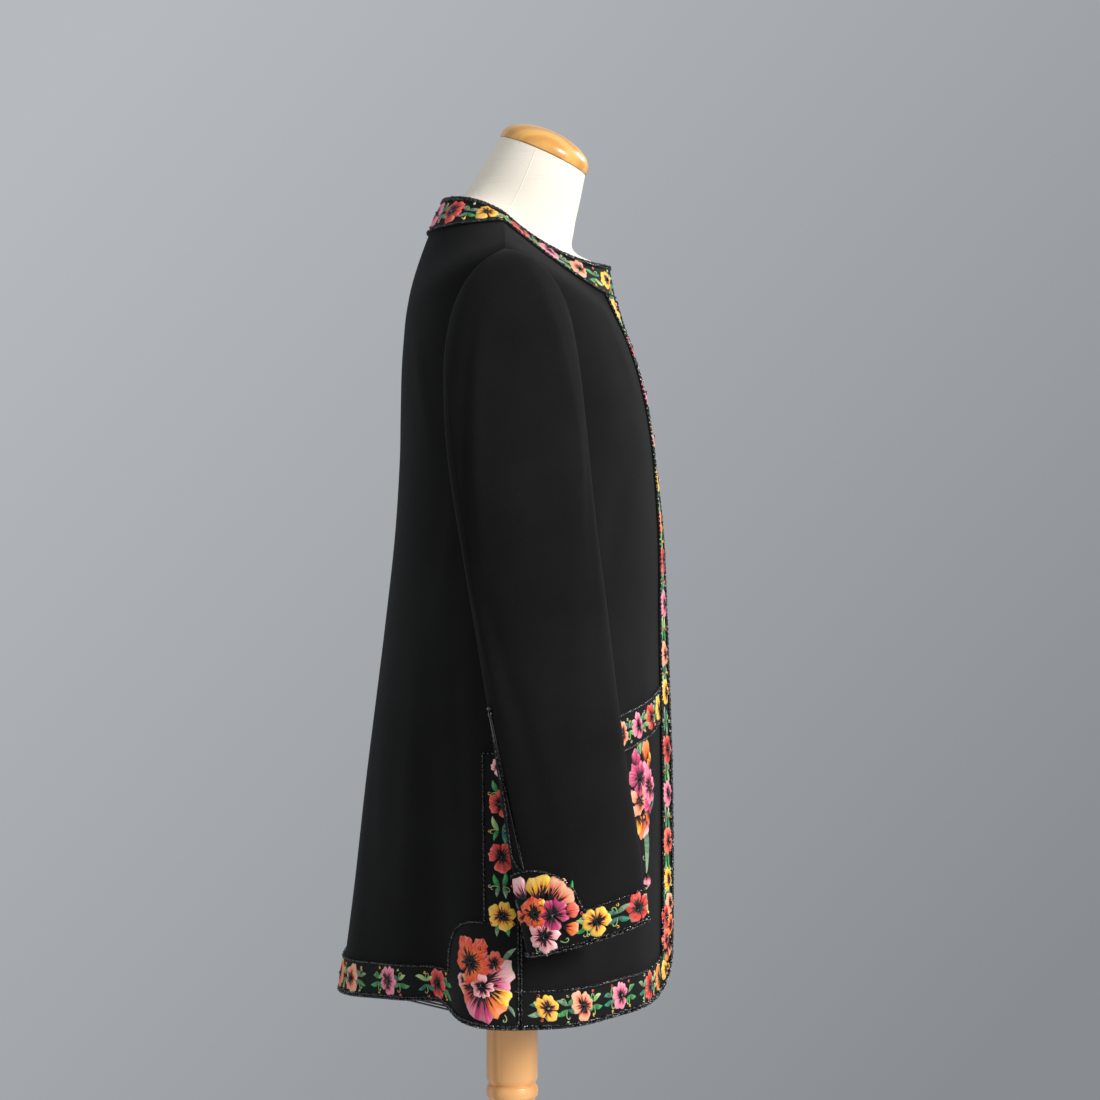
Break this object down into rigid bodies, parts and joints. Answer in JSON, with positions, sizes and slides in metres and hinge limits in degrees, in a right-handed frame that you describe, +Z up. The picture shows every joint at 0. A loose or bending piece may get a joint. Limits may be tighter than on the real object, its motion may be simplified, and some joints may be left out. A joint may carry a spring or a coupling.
{
  "type": "beaded wool jacket on dress form",
  "caption": "Collarless open-front A-line wool jacket with embroidered, bead-edged bands, on a limbless cloth-covered dress form with wooden neck cap and pole.",
  "frame": {"origin": "centre of the round foot's underside, on the pole's axis", "axes": "+Z up; -Y is the front of the jacket; +X is the wearer's left"},
  "size_m": [0.612, 0.38, 1.505],
  "materials": {
    "wool_cloth": "matt fulled wool with a fine nap",
    "band_cloth": "smooth matt black facing",
    "floss": "satin-stitched silk floss in many colours",
    "beads": "small glossy black glass beads",
    "form_cover": "tight plain cream cotton",
    "cap_wood": "clear satin varnish on a honey-coloured wood",
    "pole_wood": "clear satin varnish on a pale turned wood"
  },
  "bodies": {
    "root": {"back": "wool_cloth", "hem_band_back": "band_cloth", "neck_band": "band_cloth", "form_torso": "form_cover", "pole": "pole_wood", "foot": "pole_wood", "neck_cap": "cap_wood", "front_left": "wool_cloth", "top_sleeve_left": "wool_cloth", "under_sleeve_left": "wool_cloth", "front_band_left": "band_cloth", "hem_band_left": "band_cloth", "vent_band_left": "band_cloth", "cuff_band_left": "band_cloth", "pocket_band_left": "band_cloth", "front_right": "wool_cloth", "top_sleeve_right": "wool_cloth", "under_sleeve_right": "wool_cloth", "front_band_right": "band_cloth", "hem_band_right": "band_cloth", "vent_band_right": "band_cloth", "cuff_band_right": "band_cloth", "pocket_band_right": "band_cloth"}
  },
  "joints": []
}
